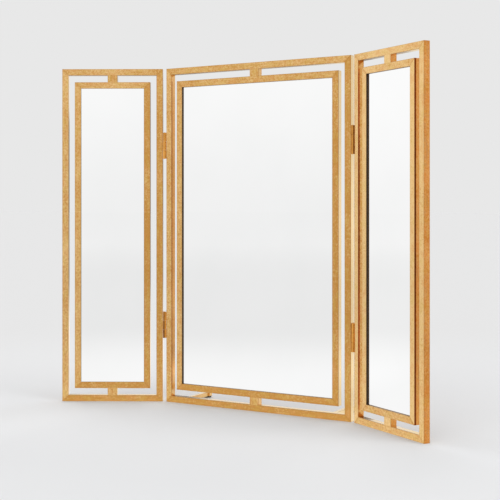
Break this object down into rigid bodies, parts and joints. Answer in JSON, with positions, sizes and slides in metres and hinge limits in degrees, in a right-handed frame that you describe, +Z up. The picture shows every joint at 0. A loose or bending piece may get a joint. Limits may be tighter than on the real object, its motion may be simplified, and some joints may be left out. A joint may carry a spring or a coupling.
{
  "type": "folding dressing table mirror",
  "caption": "Folding table mirror with hinged side wings; each panel is a recessed mirror in an open double frame of square gilt bars joined by small bridge blocks, with rear feet.",
  "frame": {"origin": "middle of the underside of the centre panel's outer bottom rail, on the table top", "axes": "+X to the viewer's right along the centre panel, +Y towards the back, +Z up; the mirrors face -Y"},
  "size_m": [0.7654, 0.1902, 0.65],
  "materials": {
    "gilt_metal": "gold leaf, satin",
    "mirror_glass": "clear silvered",
    "black_strip": "matte",
    "backing_board": "pressed board, matte",
    "steel": "zinc plated",
    "brass": "polished",
    "pad_rubber": "matte"
  },
  "bodies": {
    "centre_panel": {"centre_outer_rail_top": "gilt_metal", "centre_outer_rail_bottom": "gilt_metal", "centre_outer_stile_left": "gilt_metal", "centre_outer_stile_right": "gilt_metal", "centre_inner_rail_top": "gilt_metal", "centre_inner_rail_bottom": "gilt_metal", "centre_inner_stile_left": "gilt_metal", "centre_inner_stile_right": "gilt_metal", "centre_bridge_blocks": "gilt_metal", "centre_mirror_glass": "mirror_glass", "centre_glass_gasket": "black_strip", "centre_backing_board": "backing_board", "centre_backing_clips": "steel", "centre_clip_screws": "steel", "left_lower_hinge_frame_leaf": "brass", "left_upper_hinge_frame_leaf": "brass", "left_hinge_pins": "brass", "left_rear_foot": "gilt_metal", "right_lower_hinge_frame_leaf": "brass", "right_upper_hinge_frame_leaf": "brass", "right_hinge_pins": "brass", "right_rear_foot": "gilt_metal", "centre_hinge_screws": "brass", "rear_foot_pads": "pad_rubber", "rear_foot_studs": "steel"},
    "left_wing": {"left_wing_outer_rail_top": "gilt_metal", "left_wing_outer_rail_bottom": "gilt_metal", "left_wing_outer_stile_left": "gilt_metal", "left_wing_outer_stile_right": "gilt_metal", "left_wing_inner_rail_top": "gilt_metal", "left_wing_inner_rail_bottom": "gilt_metal", "left_wing_inner_stile_left": "gilt_metal", "left_wing_inner_stile_right": "gilt_metal", "left_wing_bridge_blocks": "gilt_metal", "left_wing_mirror_glass": "mirror_glass", "left_wing_glass_gasket": "black_strip", "left_wing_backing_board": "backing_board", "left_wing_backing_clips": "steel", "left_wing_clip_screws": "steel", "left_lower_hinge_wing_leaf": "brass", "left_upper_hinge_wing_leaf": "brass", "left_wing_hinge_screws": "brass"},
    "right_wing": {"right_wing_outer_rail_top": "gilt_metal", "right_wing_outer_rail_bottom": "gilt_metal", "right_wing_outer_stile_left": "gilt_metal", "right_wing_outer_stile_right": "gilt_metal", "right_wing_inner_rail_top": "gilt_metal", "right_wing_inner_rail_bottom": "gilt_metal", "right_wing_inner_stile_left": "gilt_metal", "right_wing_inner_stile_right": "gilt_metal", "right_wing_bridge_blocks": "gilt_metal", "right_wing_mirror_glass": "mirror_glass", "right_wing_glass_gasket": "black_strip", "right_wing_backing_board": "backing_board", "right_wing_backing_clips": "steel", "right_wing_clip_screws": "steel", "right_lower_hinge_wing_leaf": "brass", "right_upper_hinge_wing_leaf": "brass", "right_wing_hinge_screws": "brass"}
  },
  "joints": [
    {"name": "left_wing_fold", "type": "hinge", "parent": "centre_panel", "child": "left_wing", "pos_m": [-0.2027, -0.0067, 0.325], "axis": [0, 0, 1], "range_deg": [-45, 150]},
    {"name": "right_wing_fold", "type": "hinge", "parent": "centre_panel", "child": "right_wing", "pos_m": [0.2027, -0.0067, 0.325], "axis": [0, 0, -1], "range_deg": [-45, 150]}
  ]
}
